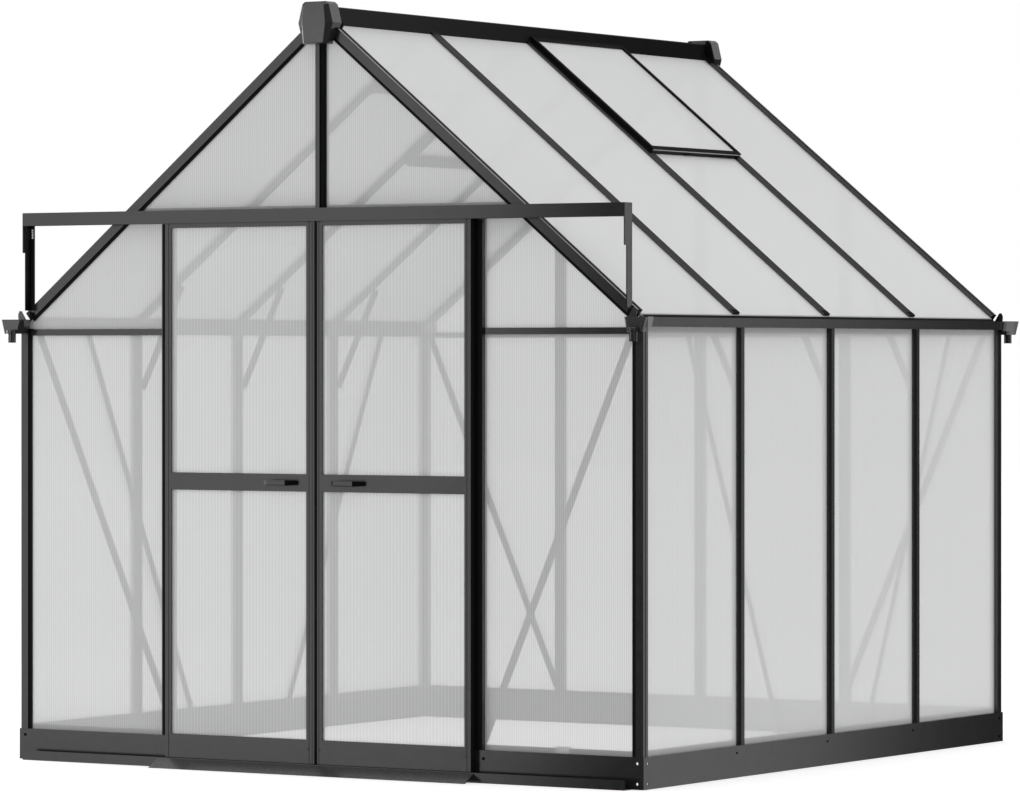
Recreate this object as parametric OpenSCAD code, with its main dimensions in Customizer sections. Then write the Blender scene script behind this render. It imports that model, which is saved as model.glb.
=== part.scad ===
// Polycarbonate greenhouse: aluminium frame on a sheet base, twin-wall panes,
// twin sliding doors hung in front of one gable, a closed vent in each roof slope.
// +X points right along the door gable, -Y points out of the doors, +Z up, millimetres.

/* [Overall] */
// Outside width of the base ring, along the door gable
base_w = 2450; // [2100:10:3000]
// Outside length of the base ring, along the side walls
base_d = 2486; // [2100:10:3600]
// Height of the base ring
base_h = 102; // [80:1:140]
// Height of the gable rafters' outer edge above the outer faces of the side walls
eave_z = 1487.5; // [1450:0.5:1700]
// Pitch of the roof slopes, degrees
roof_pitch = 39.05; // [34:0.05:42]

/* [Base ring] */
// Sheet thickness of the base ring
sheet_t = 3; // [2:0.5:5]
// Width of the base ring's top flange
base_flange_w = 45; // [36:1:60]
// Width of the base ring's foot flange
foot_flange_w = 30; // [20:1:50]
// How far the posts stand back from the base's outer face
base_step = 4; // [1:0.5:10]
// Diameter of the open bolt holes at the base corners
bolt_hole_d = 9; // [6:0.5:12]

/* [Frame bars] */
// Distance from the base's outer face to the lines between which the bays are counted
bay_margin = 27; // [20:1:40]
// How far the side wall bars stand back from the corner posts' outer faces
side_step = 5; // [2:0.5:10]
// How far the inner rafters lie below the gable rafters' outer edge
roof_step = 5; // [2:0.5:12]
// How far the rafters' feet stop short of the side wall, down the slope
rafter_stop = 25; // [10:1:40]
// Width of the outer cap of a stud
cap_w = 40; // [30:1:50]
// How far an outer cap stands proud of the panes
cap_t = 8; // [6:1:14]
// Thickness of the twin-wall panes
pane_t = 6; // [4:1:10]
// Width of the inner rib of a bar
rib_w = 30; // [20:1:36]
// Depth of the inner rib of a bar
rib_d = 14; // [10:1:30]
// Width of the web between two panes
web_w = 8; // [5:1:12]
// Gap between a pane's edge and the web
pane_gap = 2; // [1:0.5:5]
// Width of a corner post's outer box
post_w = 28; // [22:1:36]
// Width of the bead beside a corner post on the gables
bead_w = 14; // [10:1:20]
// Height of a rail's outer cap, across the slope or up the wall
rail_w = 21; // [18:1:34]
// Width of a gable rafter's face
gable_rafter_w = 31; // [26:1:40]
// Height of the sill rail above the base
sill_h = 16; // [10:1:30]
// Height of the eave beams
eave_beam_h = 57; // [45:1:80]
// Width of the raised strip of the door gable's mullion
mullion_strip_w = 16; // [10:1:24]
// How far the mullion's other part lies back
mullion_step = 5; // [2:0.5:7]
// How far the beads along the gable rafters stop short of the eaves
bead_stop = 60; // [40:1:100]
// Distance from the ridge line to the purlin, down the left slope
purlin_s = 300; // [200:10:600]
// Width of the ridge beam
ridge_w = 60; // [48:1:80]
// Height of the ridge beam
ridge_h = 84; // [70:1:110]
// How far the ridge beam rises above the line where the gable rafters meet
ridge_rise = 19; // [10:1:30]

/* [Braces] */
// Width of a flat brace
brace_w = 25; // [16:1:32]
// Thickness of a flat brace
brace_t = 3; // [2:0.5:5]
// Height of the knee braces' lower ends
knee_z = 1245; // [1100:1:1320]
// How far the knee braces reach in from the outer wall face
knee_reach = 200; // [150:1:300]

/* [Doors] */
// Width of one door leaf
door_w = 597; // [500:1:620]
// Gap between the closed leaves
door_gap = 6; // [6:1:12]
// Thickness of a door leaf
door_t = 17; // [14:1:24]
// Gap between the jambs' faces and the leaves
door_standoff = 14; // [10:1:20]
// Height of the doors' top edge
door_top_z = 1808; // [1700:1:1815]
// Height of the doors' bottom edge
door_bottom_z = 12; // [9:1:20]
// Face width of a door stile
stile_w = 24; // [18:1:36]
// Width of the cover strip on the left leaf's meeting stile
strip_w = 8; // [6:1:20]
// Height of the middle rail of a door
mid_rail_h = 57; // [40:1:90]
// Height of the middle rail's centre
mid_rail_z = 946; // [800:1:1100]
// Height of the top edge of the doors' bottom rail
bottom_rail_top_z = 111; // [90:1:160]
// Height of the underside of the doors' top rail
top_rail_z = 1782; // [1750:1:1790]
// Thickness of the door panes
door_pane_t = 4; // [3:1:8]
// Distance of a leaf's two hangers from its edges
hanger_x = 80; // [50:5:200]
// How far each leaf slides open
door_travel = 570; // [400:1:570]

/* [Door track] */
// How far the track's ends stop short of the side walls
track_stop = 40; // [20:1:70]
// Height of the track's top
track_top_z = 1840; // [1800:1:1850]
// Height of the track beam
track_h = 43; // [38:1:60]
// How far the track stands out from the gable frame
track_out = 46; // [44:1:60]
// Thickness of the track and guide walls
track_t = 3; // [2:0.5:4]
// Height of the guide rail below the doors
guide_h = 32; // [24:1:40]
// How far the threshold ramp runs out from the guide rail
ramp_run = 55; // [40:1:80]
// How far the threshold ramp reaches beyond the jambs' centres
ramp_over = 9; // [0:1:40]

/* [Door handles] */
// Length of a handle along the door
handle_l = 139; // [110:1:180]
// Length of a handle's grip
grip_l = 80; // [60:1:110]
// Height of a handle
handle_h = 21; // [16:1:28]
// How far a handle stands out from the door
handle_out = 37; // [30:1:45]
// Thickness of the handle's bow
handle_t = 8; // [5:1:11]
// Distance of a handle's middle from the meeting line
handle_x = 132; // [110:1:200]

/* [Rainwater] */
// Height from the gable rafters' edge down to the gutter's underside
gutter_drop = 36.5; // [30:0.5:50]
// Height of the gutter's outer wall
gutter_h = 30; // [22:1:40]
// How far the gutter stands out from the side wall's face
gutter_out = 24; // [18:1:40]
// Wall thickness of the gutter
gutter_t = 2.5; // [1.5:0.5:4]
// Width of a gutter head, between its outer and inner side
head_w = 85; // [80:1:110]
// Height of a gutter head
head_h = 48; // [40:1:60]
// How far a gutter head stands out from the gable frame
head_out = 54; // [46:1:70]
// How far the outlet stubs' centres stand out from the gable frame
stub_out = 56; // [46:1:70]
// How far the outlet stubs' centres stand in from the side wall
stub_in = 3; // [0:1:12]
// Outer diameter of the outlet stub
stub_d = 27; // [24:1:40]
// Wall thickness of the outlet stub
stub_t = 2.5; // [2:0.5:4]
// Length of the outlet stub
stub_l = 30; // [20:1:50]

/* [Ridge caps] */
// Height of a ridge cap
ridge_cap_h = 138; // [110:1:170]
// Width of a ridge cap at the middle of its height
ridge_cap_w = 135; // [110:1:160]
// Width of the bevels beside the front face of a ridge cap
ridge_cap_bevel = 21; // [10:1:24]
// Depth of those bevels
ridge_cap_bevel_d = 12; // [8:1:20]
// How far a ridge cap stands out from the gable frame
ridge_cap_out = 41; // [30:1:60]
// How far a ridge cap reaches in behind the gable's face
ridge_cap_in = 24; // [15:1:28]
// How far a ridge cap's top stands above the line where the gable rafters meet
ridge_cap_rise = 33; // [24:1:45]

/* [Roof vents] */
// Distance from the ridge line to the vents' lower edge, down the slope
vent_l = 665; // [450:1:800]
// How far a vent frame stands above the rafter caps
vent_rise = 14; // [8:1:20]
// Width of a vent frame's bars
vent_bar_w = 16; // [10:1:30]
// How far a vent frame is set from the middle of the rafter it starts on
vent_offset = 5; // [0:1:12]
// Depth of the trim hanging under a vent's edges
vent_trim = 24; // [6:1:30]

/* [Hidden] */

$fn = 48;
frame_colour = "#3c3d3f";
plastic_colour = "#47484a";
pane_colour = [0.85, 0.87, 0.88, 0.45];

eps = 0.01;                          // overlap of touching solids in one union
px = base_w / 2 - base_step;         // outer face of the side frames
py = base_d / 2 - base_step;         // outer face of the gable frames
post_d = post_w + 2;                 // depth of a corner post and a gable rafter
bar_d = cap_t + pane_t + rib_d;      // full depth of a bar
rib_y = cap_t + pane_t;              // depth of the panes' inner face
edge = web_w / 2 + pane_gap;         // pane edge from a bar's centre line
bay_x = (base_w / 2 - bay_margin) / 2; // pitch of the rear gable studs
bay_y = (base_d / 2 - bay_margin) / 2; // pitch of the side studs and rafters
jamb_x = door_gap / 2 + door_w + 10;   // centre of a door jamb
apex_z = eave_z + px * tan(roof_pitch);
ridge_z = apex_z + ridge_rise;       // top of the ridge beam
slope_l = px / cos(roof_pitch);      // ridge line to wall face, down the slope
foot_s = slope_l - rafter_stop;      // where the rafters end, down the slope
ridge_s = ridge_w / 2 / cos(roof_pitch);
sill_z = base_h + sill_h;
gutter_z = eave_z - gutter_drop;     // underside of the gutter floor
rail_z = gutter_z - 2 - rail_w / 2;  // centre of the gable rails
header_z0 = track_top_z - track_h + 3;
header_z1 = track_top_z + 10;
bead_t = 3;                          // thickness of the pane beads
joint_gap = 1;                       // joint between bars that meet end to end
far = 2 * base_d;                    // longer than anything here
door_back_y = -py - door_standoff;
door_front_y = door_back_y - door_t;
track_front_y = -py - track_out;
track_half = px - track_stop;
ramp_half = jamb_x + ramp_over;
// Puts the origin under the middle of everything, from the ramp to the rear outlets.
y_shift = (track_out + ramp_run - stub_out - stub_d / 2) / 2;

function drop(depth) = depth / cos(roof_pitch);  // height taken by a depth into the roof
function roof_z(x, depth = 0) = apex_z - abs(x) * tan(roof_pitch) - drop(depth);
function roof_x(z, depth = 0) = (apex_z - drop(depth) - z) / tan(roof_pitch);

pane_under = roof_step + cap_t + pane_t;         // depth of the roof panes' underside
wall_x = px - side_step;                         // outer face of the side walls' caps
beam_x = wall_x - bar_d;                         // inner face of the eave beams
gutter_x = wall_x - cap_t - 2;                   // inner face of the gutters
eave_bottom_z = roof_z(beam_x, pane_under) - eave_beam_h;

// ---- placing ----

// Wall frames: x runs along the wall, y inward from the frame's outer face.
module at_front() translate([0, -py, 0]) children();
module at_rear() translate([0, py, 0]) rotate(180) children();
module at_right() translate([wall_x, 0, 0]) rotate(90) children();
module at_left() translate([-wall_x, 0, 0]) rotate(-90) children();

// Roof frames: z runs down the slope, y into the roof, x towards the door gable.
module on_right_slope()
  translate([0, 0, apex_z]) rotate([0, 90 + roof_pitch, 0]) rotate(-90) children();
module on_left_slope() mirror([1, 0, 0]) on_right_slope() children();

module both_sides() {
  children();
  mirror([1, 0, 0]) children();
}

module both_ends() {
  children();
  mirror([0, 1, 0]) children();
}

// A plate standing in a gable or a frame, drawn in x and z, with its front face at y.
module standing(y, t) translate([0, y + t, 0]) rotate([90, 0, 0]) linear_extrude(t) children();

// Everything under the roof, down to a depth below its outer surface, drawn in x and z.
module gable_outline(depth)
  polygon([
    [-px, 0], [px, 0], [px, roof_z(px, depth)], [0, roof_z(0, depth)], [-px, roof_z(px, depth)],
  ]);

module below_roof(depth)
  intersection() {
    children();
    standing(-far / 2, far) gable_outline(depth);
  }

// ---- bars ----

module cap_and_web(cap) {
  translate([-cap / 2, 0]) square([cap, cap_t]);
  translate([-web_w / 2, cap_t - eps]) square([web_w, pane_t + 2 * eps]);
}

module rib(w) translate([-w / 2, rib_y]) square([w, rib_d]);

// A stud with its cap from z0 to z1 and its inner rib from rib_z0 to rib_z1.
module upright(x, z0, z1, rib_z0, rib_z1) {
  translate([x, 0, z0]) linear_extrude(z1 - z0) cap_and_web(cap_w);
  translate([x, 0, rib_z0]) linear_extrude(rib_z1 - rib_z0) rib(rib_w);
}

module cross_rail(x0, x1, z)
  translate([x0, 0, z]) rotate([0, 90, 0]) linear_extrude(x1 - x0) {
    cap_and_web(rail_w);
    rib(rail_w);
  }

// ---- base ring ----

// One side of the ring: its web runs over len, its flanges over flange_len.
module base_side(len, flange_len) {
  difference() {
    translate([-len / 2, 0, 0]) cube([len, sheet_t, base_h]);
    for (side = [-1, 1], z = [18, base_h - 20])
      translate([side * (len / 2 - 24), -1, z]) rotate([-90, 0, 0])
        cylinder(h = sheet_t + 2, d = bolt_hole_d);
  }
  translate([-flange_len / 2, 0, base_h - sheet_t]) cube([flange_len, base_flange_w, sheet_t]);
  translate([-flange_len / 2, 0, 0]) cube([flange_len, foot_flange_w, sheet_t]);
}

module base_front()
  color(frame_colour)
    difference() {
      translate([0, -base_d / 2, 0]) base_side(base_w, base_w - 2 * sheet_t);
      translate([-jamb_x + cap_w / 2, -base_d, -1])
        cube([2 * jamb_x - cap_w, base_d, base_h + 2]);
    }

module base_rear()
  color(frame_colour)
    translate([0, base_d / 2, 0]) rotate(180) base_side(base_w, base_w - 2 * sheet_t);

module base_long_side() base_side(base_d - 2 * sheet_t, base_d - 2 * base_flange_w);
module base_left() color(frame_colour) translate([-base_w / 2, 0, 0]) rotate(-90) base_long_side();
module base_right() color(frame_colour) translate([base_w / 2, 0, 0]) rotate(90) base_long_side();

// ---- walls ----

// The right front post: a box and a bead over the edge of the gable's pane.
module corner_post() {
  inner_x = px - post_w;
  translate([inner_x, -py, base_h]) cube([post_w, post_d, gutter_z - base_h]);
  translate([inner_x - bead_w, -py + cap_t - bead_t, base_h])
    cube([bead_w + eps, bead_t, gutter_z - base_h]);
}

module corner_posts() color(frame_colour) both_ends() both_sides() corner_post();

module side_studs()
  for (i = [-1:1]) upright(i * bay_y, base_h, gutter_z, sill_z, eave_bottom_z);

module studs_left() color(frame_colour) at_left() side_studs();
module studs_right() color(frame_colour) at_right() side_studs();

// The jambs' caps stand proud below the track, so they close the gap beside the doors.
module door_jambs() {
  proud = door_standoff - 6;
  color(frame_colour) at_front() for (side = [-1, 1]) {
    upright(side * jamb_x, base_h, track_top_z, base_h, header_z0);
    translate([side * jamb_x - cap_w / 2, -proud, base_h])
      cube([cap_w, proud + eps, track_top_z - track_h - 1 - base_h]);
  }
}

module gable_studs_rear()
  color(frame_colour) below_roof(gable_rafter_w) at_rear() for (i = [-1:1])
    upright(i * bay_x, base_h, ridge_z - ridge_h, sill_z, ridge_z - ridge_h);

// Mullion above the doors: a raised strip on its left, the rest set back.
module gable_mullion_front()
  color(frame_colour) below_roof(gable_rafter_w) at_front()
    difference() {
      upright(0, track_top_z, ridge_z - ridge_h, header_z1, ridge_z - ridge_h);
      translate([mullion_strip_w - cap_w / 2, -1, track_top_z - 1])
        cube([cap_w, mullion_step + 1, far]);
    }

module gable_rails() {
  post_edge = px - post_w - bead_w;
  color(frame_colour) both_sides() {
    at_front() cross_rail(jamb_x + cap_w / 2, post_edge, rail_z);
    at_rear() cross_rail(-post_edge, -bay_x - cap_w / 2, rail_z);
    at_rear() cross_rail(-bay_x + cap_w / 2, -cap_w / 2, rail_z);
  }
}

// Inner bar behind the track, from gable rafter to gable rafter.
module door_header()
  color(frame_colour) below_roof(gable_rafter_w) at_front()
    translate([-px, rib_y, header_z0]) cube([2 * px, rib_d, header_z1 - header_z0]);

module sill(x0, x1) translate([x0, rib_y, base_h]) cube([x1 - x0, rib_d, sill_h]);

module sill_rails() {
  side_l = 2 * (py - post_d - joint_gap);
  gable_l = 2 * (px - post_w);
  color(frame_colour) {
    at_left() sill(-side_l / 2, side_l / 2);
    at_right() sill(-side_l / 2, side_l / 2);
    at_rear() sill(-gable_l / 2, gable_l / 2);
    both_sides() at_front() sill(jamb_x + rib_w / 2, gable_l / 2);
  }
}

// ---- roof ----

// The eave beam under the roof panes: its upper part reaches out behind the gutter, and a
// lug at each end fills the corner between post and gable rafter.
module eave_beam_right() {
  inner_pane_x = px - side_step - cap_t - pane_t;
  lug_x = px - post_w;
  color(frame_colour) {
    standing(-py + post_d, 2 * (py - post_d))
      polygon([
        [beam_x, eave_bottom_z], [inner_pane_x, eave_bottom_z], [inner_pane_x, gutter_z],
        [gutter_x, gutter_z], [gutter_x, roof_z(gutter_x, pane_under)],
        [beam_x, roof_z(beam_x, pane_under)],
      ]);
    below_roof(gable_rafter_w) both_ends()
      translate([lug_x, -py, gutter_z]) cube([gutter_x - lug_x, post_d + eps, far]);
  }
}

module eave_beam_left() mirror([1, 0, 0]) eave_beam_right();

// What rafters and roof panes are cut back from: the ridge beam and the eave beam.
module rafter_cuts() {
  translate([-ridge_w / 2, -far / 2, 0]) cube([ridge_w, far, far]);
  standing(-far / 2, far)
    polygon([
      [beam_x, 0], [2 * px, 0], [2 * px, roof_z(2 * px, pane_under)],
      [beam_x, roof_z(beam_x, pane_under)],
    ]);
}

module rafters_right()
  color(frame_colour)
    difference() {
      on_right_slope() for (i = [-1:1])
        translate([i * bay_y, roof_step, 0]) linear_extrude(foot_s) {
          cap_and_web(cap_w);
          rib(rib_w);
        }
      rafter_cuts();
    }

module rafters_left() mirror([1, 0, 0]) rafters_right();

// A gable rafter with the bead that holds the gable panes' upper edges.
module gable_rafter() {
  bead_from = ridge_cap_w / 2 / cos(roof_pitch);
  difference() {
    on_right_slope()
      translate([py - post_d, 0, -far / 4]) cube([post_d, gable_rafter_w, foot_s + far / 4]);
    translate([joint_gap / 2 - far, -far, 0]) cube([far, far, far]);
  }
  on_right_slope()
    translate([py - cap_t, gable_rafter_w - eps, bead_from])
      cube([bead_t, bead_w * 0.7, slope_l - bead_from - bead_stop]);
}

module gable_rafters_front() color(frame_colour) both_sides() gable_rafter();

// The rear beads are interrupted where the studs' caps come up to the rafters.
module gable_rafters_rear()
  color(frame_colour)
    difference() {
      mirror([0, 1, 0]) both_sides() gable_rafter();
      intersection() {
        both_sides() translate([bay_x - cap_w / 2, 0, 0]) cube([cap_w, far, far]);
        standing(-far / 2, far) gable_outline(gable_rafter_w);
      }
    }

module ridge_beam() {
  half = ridge_w / 2;
  crown = ridge_w / 15;
  color(frame_colour)
    standing(-py + post_d, 2 * (py - post_d))
      polygon([
        [-half, ridge_z - ridge_h], [half, ridge_z - ridge_h], [half, ridge_z - crown],
        [half - crown, ridge_z], [crown - half, ridge_z], [-half, ridge_z - crown],
      ]);
}

module ridge_cap_outline(half_mid, half_end, half_h)
  polygon([
    [-half_end, -half_h], [half_end, -half_h], [half_mid, 0],
    [half_end, half_h], [-half_end, half_h], [-half_mid, 0],
  ]);

// Front cap: a bevelled six-sided box before the gable, and a hood above the rafters.
module ridge_cap() {
  mid = ridge_cap_w / 2;
  end = mid - 9;
  half_h = ridge_cap_h / 2;
  top = apex_z + ridge_cap_rise;
  front = -py - ridge_cap_out;
  b = ridge_cap_bevel;
  hull() {
    translate([0, 0, top - half_h]) standing(front, 1)
      ridge_cap_outline(mid - b, end - b, half_h - 2);
    translate([0, 0, top - half_h])
      standing(front + ridge_cap_bevel_d, ridge_cap_out - ridge_cap_bevel_d)
        ridge_cap_outline(mid, end, half_h);
  }
  difference() {
    translate([0, 0, top - half_h]) standing(-py - eps, ridge_cap_in)
      ridge_cap_outline(mid, end, half_h);
    standing(-far / 2, far) gable_outline(0);
  }
}

module ridge_caps() color(plastic_colour) both_ends() ridge_cap();

// Stiffening bar between the first two rafters of the left slope.
module purlin_left()
  color(frame_colour)
    on_left_slope()
      translate([rib_w / 2, pane_under, purlin_s]) cube([bay_y - rib_w, rib_d, 24]);

// ---- braces ----

// Flat strip drawn in the plane of x and z, from one point to another.
module strip(from, to) {
  run = to - from;
  translate(from) rotate(atan2(run[1], run[0])) translate([0, -brace_w / 2])
    square([norm(run), brace_w]);
}

module wall_brace_pair()
  for (side = [-1, 1]) standing(bar_d, brace_t)
    strip([side * bay_y / 2, base_h + 14], [side * bay_y * 1.5, eave_bottom_z + 14]);

module wall_braces()
  color(frame_colour) {
    at_left() wall_brace_pair();
    at_right() wall_brace_pair();
  }

module gable_brace(foot_x)
  for (side = [-1, 1]) standing(bar_d, brace_t)
    strip([side * foot_x, base_h + 28], [side * (px - post_w - bead_w - 12), rail_z]);

module gable_braces()
  color(frame_colour) {
    at_front() gable_brace(jamb_x + 4);
    at_rear() gable_brace(bay_x + 4);
  }

// Knee braces beside the ribs of the side studs and rafters.
module knee_braces()
  color(frame_colour) both_sides() for (i = [-1:1])
    standing(i * bay_y + rib_w / 2, brace_t)
      strip([beam_x, knee_z], [px - knee_reach, roof_z(px - knee_reach, pane_under + 18)]);

// ---- rainwater ----

// A channel whose low inner wall stands against the eave beam, under the roof panes.
module gutter_right() {
  out_x = px + gutter_out;
  inner_top_z = roof_z(gutter_x + gutter_t, pane_under) - 2;
  color(frame_colour)
    standing(-py, 2 * py) {
      translate([gutter_x, gutter_z]) square([out_x - gutter_x, gutter_t]);
      translate([gutter_x, gutter_z]) square([gutter_t, inner_top_z - gutter_z]);
      translate([out_x - gutter_t, gutter_z]) square([gutter_t, gutter_h]);
    }
}

module gutter_left() mirror([1, 0, 0]) gutter_right();

// Right front gutter head: a tray at the gutter's end with a sleeve over the gutter, a
// funnel with the outlet stub under its front, and a fin.
module gutter_head() {
  out_x = px + gutter_out;            // outer face of the gutter
  side_x = out_x + 21;                // outer side of the tray
  in_x = side_x - head_w;
  front = -py - head_out;
  top_z = gutter_z + gutter_h + 1;
  bottom_z = top_z - head_h;
  tray_z = gutter_z - 3;
  stub_x = px - stub_in;
  stub_y = -py - stub_out;
  wall = 4;
  funnel_in = in_x + 16;              // inner and outer top corner of the funnel's front
  funnel_out = out_x + 5;
  funnel_y = 25;                      // depth of the funnel
  collar_h = 14;
  difference() {
    union() {
      translate([0, 0, tray_z]) linear_extrude(top_z - tray_z)
        polygon([
          [in_x, -py], [in_x, front + 10], [funnel_in, front], [funnel_out, front],
          [side_x - 4, front + 10], [side_x - 4, front + 20],
          [out_x + wall, front + 28], [out_x + wall, -py],
        ]);
      standing(front, funnel_y)
        polygon([
          [funnel_in, tray_z + eps], [funnel_in + 8, bottom_z], [funnel_out - 4, bottom_z],
          [funnel_out, tray_z + eps],
        ]);
      translate([stub_x, stub_y, bottom_z - stub_l]) cylinder(h = stub_l + eps, d = stub_d);
      translate([stub_x, stub_y, bottom_z]) cylinder(h = collar_h, d = stub_d + 8);
      translate([out_x, -py - eps, tray_z]) cube([wall, 16, top_z - tray_z]);
    }
    translate([gutter_x + gutter_t, front + wall, gutter_z + gutter_t])
      cube([out_x - gutter_x - 2 * gutter_t, head_out, head_h]);
    translate([funnel_in + 12, front + wall, bottom_z + 8])
      cube([funnel_out - funnel_in - 20, funnel_y - 2 * wall, head_h]);
    translate([stub_x, stub_y, bottom_z - stub_l - 1])
      cylinder(h = stub_l + collar_h - 2, d = stub_d - 2 * stub_t);
  }
  standing(front + 26, bead_t)
    polygon([
      [in_x + 5, tray_z + 4], [gutter_x + gutter_t, tray_z + 4], [px - 8, top_z + 10],
      [px - 8, top_z + 18], [px - 14, top_z + 29], [px - 21, top_z + 28], [in_x + 5, top_z],
    ]);
}

module gutter_heads() color(plastic_colour) both_ends() both_sides() gutter_head();

// ---- panes ----

module pane(x0, x1, z0, z1) translate([x0, cap_t, z0]) cube([x1 - x0, pane_t, z1 - z0]);

module side_panes() {
  end = py - post_d;
  for (i = [-1, 0]) pane(i * bay_y + edge, (i + 1) * bay_y - edge, base_h, gutter_z);
  pane(-end, -bay_y - edge, base_h, gutter_z);
  pane(bay_y + edge, end, base_h, gutter_z);
}

module panes_left() color(pane_colour) at_left() side_panes();
module panes_right() color(pane_colour) at_right() side_panes();

module panes_front() {
  inner = jamb_x + edge;
  end = px - post_w;
  color(pane_colour) below_roof(gable_rafter_w) both_sides() at_front() {
    pane(inner, end, base_h, rail_z - edge);
    pane(inner, end, rail_z + edge, track_top_z - edge);
    pane(edge, px, track_top_z + 1, apex_z);
  }
}

module panes_rear() {
  end = px - post_w;
  color(pane_colour) below_roof(gable_rafter_w) both_sides() at_rear()
    for (
      span = [[-end, -bay_x - edge], [-bay_x + edge, -edge]],
      z = [[base_h, rail_z - edge], [rail_z + edge, apex_z]]
    )
      pane(span[0], span[1], z[0], z[1]);
}

// Panes of the right slope, bay by bay from the door gable; a vent takes the top of one bay.
module roof_panes_right() {
  end = py - post_d;
  bays = [
    [bay_y + edge, end, 0], [edge, bay_y - edge, 0],
    [-bay_y + edge, -edge, vent_l + 1], [-end, -bay_y - edge, 0],
  ];
  color(pane_colour)
    difference() {
      on_right_slope() translate([0, roof_step, 0])
        for (bay = bays) pane(bay[0], bay[1], bay[2], slope_l);
      rafter_cuts();
    }
}

module roof_panes_left() mirror([1, 0, 0]) roof_panes_right();

// ---- roof vents ----

vent_x0 = -bay_y - vent_offset;
vent_x1 = -vent_offset;
vent_top = roof_step - vent_rise;       // depth of a vent's outer face
vent_pane_top = vent_top + 6;
trim_x0 = -bay_y + cap_w / 2 + 1;       // the trim hangs between the rafters' caps
trim_x1 = -cap_w / 2 - 1;

// A rectangular ring in the right slope, cut back from the ridge beam.
module vent_ring(x0, x1, depth0, depth1, side0, side1, foot)
  difference() {
    on_right_slope()
      difference() {
        translate([x0, depth0, 0]) cube([x1 - x0, depth1 - depth0, vent_l]);
        translate([x0 + side0, depth0 - 1, ridge_s + vent_bar_w])
          cube([x1 - x0 - side0 - side1, depth1 - depth0 + 2, vent_l - ridge_s - vent_bar_w - foot]);
      }
    translate([-ridge_w / 2 - 1, -far / 2, 0]) cube([ridge_w + 2, far, far]);
  }

module vent_frame_right() {
  trim_t = 4;
  vent_ring(vent_x0, vent_x1, vent_top, roof_step, vent_bar_w, vent_bar_w, vent_bar_w);
  vent_ring(
    vent_x0, vent_x1, vent_pane_top + pane_t, roof_step,
    trim_x0 + trim_t - vent_x0, vent_x1 - trim_x1 + trim_t, vent_bar_w
  );
  vent_ring(trim_x0, trim_x1, roof_step - eps, pane_under + vent_trim, trim_t, trim_t, trim_t);
}

module vent_pane_right() {
  foot_z = vent_l - vent_bar_w;
  head_z = ridge_s + vent_bar_w;
  on_right_slope()
    translate([vent_x0 + vent_bar_w, vent_pane_top, head_z])
      cube([vent_x1 - vent_x0 - 2 * vent_bar_w, pane_t, foot_z - head_z]);
}

module vent_frames() color(frame_colour) both_sides() vent_frame_right();
module vent_panes() color(pane_colour) both_sides() vent_pane_right();

// ---- door track and guide ----

roller_d = 16;
ledge_z = track_top_z - track_h + 18;  // underside of the ledge the rollers run on
ledge_w = 8;

module door_track() {
  z0 = track_top_z - track_h;
  color(frame_colour)
    translate([-track_half + track_t, 0, 0])
      rotate([90, 0, 90]) linear_extrude(2 * (track_half - track_t)) {
        translate([track_front_y, z0]) square([track_t, track_h]);
        translate([-py - track_t, z0]) square([track_t, track_h]);
        translate([track_front_y, track_top_z - track_t]) square([track_out, track_t]);
        translate([-py - track_t - ledge_w, ledge_z]) square([ledge_w + eps, track_t]);
      }
}

// End brackets: a web beside the track's end, a leg down to the rafter, a rear flange.
module track_bracket() {
  foot_z = 1512;
  neck_z = 1706;
  leg_out = 32;
  flange_w = 18;
  translate([track_half - track_t, -py - track_out, neck_z])
    cube([track_t, track_out, track_top_z - neck_z]);
  translate([track_half - track_t, -py - leg_out, foot_z])
    cube([track_t, leg_out, neck_z - foot_z + eps]);
  translate([track_half - flange_w, -py - track_t, foot_z])
    cube([flange_w, track_t, track_top_z - track_h - foot_z]);
}

module track_brackets() color(frame_colour) both_sides() track_bracket();

module guide_rail()
  color(frame_colour)
    translate([-track_half, 0, 0])
      rotate([90, 0, 90]) linear_extrude(2 * track_half) {
        translate([track_front_y, 0]) square([-base_d / 2 - track_front_y, track_t]);
        translate([track_front_y, 0]) square([track_t, guide_h]);
      }

module threshold_ramp() {
  top = guide_h - 2;
  color(frame_colour)
    translate([-ramp_half, 0, 0])
      rotate([90, 0, 90]) linear_extrude(2 * ramp_half)
        polygon([
          [track_front_y - ramp_run, 0], [track_front_y, top],
          [track_front_y, top - 4], [track_front_y - ramp_run + 8, 0],
        ]);
}

// ---- sliding doors ----

// Leaf from x = 0 to door_w, in front of the jambs; meet is its meeting stile's width.
module door_bars(meet) {
  y = door_front_y;
  height = door_top_z - door_bottom_z;
  translate([0, y, door_bottom_z]) cube([stile_w, door_t, height]);
  translate([door_w - meet, y, door_bottom_z]) cube([meet, door_t, height]);
  for (z = [
    [door_bottom_z, bottom_rail_top_z],
    [mid_rail_z - mid_rail_h / 2, mid_rail_z + mid_rail_h / 2],
    [top_rail_z, door_top_z],
  ])
    translate([stile_w - eps, y, z[0]]) cube([door_w - stile_w - meet + 2 * eps, door_t, z[1] - z[0]]);
}

// Hanger with its roller on the track's ledge.
module door_hanger(x) {
  plate_t = 4;
  plate_y = door_back_y - 9;
  axle_z = ledge_z + track_t + 0.3 + roller_d / 2;
  translate([x - 20, plate_y, door_top_z - eps]) cube([40, plate_t, axle_z + 5 - door_top_z]);
  translate([x, plate_y + plate_t - eps, axle_z]) rotate([-90, 0, 0])
    cylinder(h = -py - track_t - 2 - plate_y - plate_t, d = roller_d);
}

module door_leaf(meet) {
  groove = 2;
  difference() {
    door_bars(meet);
    for (x = [stile_w * 0.55, door_w - meet + stile_w * 0.45, door_w - meet + stile_w * 0.95])
      if (x < door_w - groove)
        translate([x, door_front_y - 1, door_bottom_z - 1])
          cube([groove, 1 + groove, door_top_z - door_bottom_z + 2]);
  }
  for (x = [hanger_x, door_w - hanger_x]) door_hanger(x);
}

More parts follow.
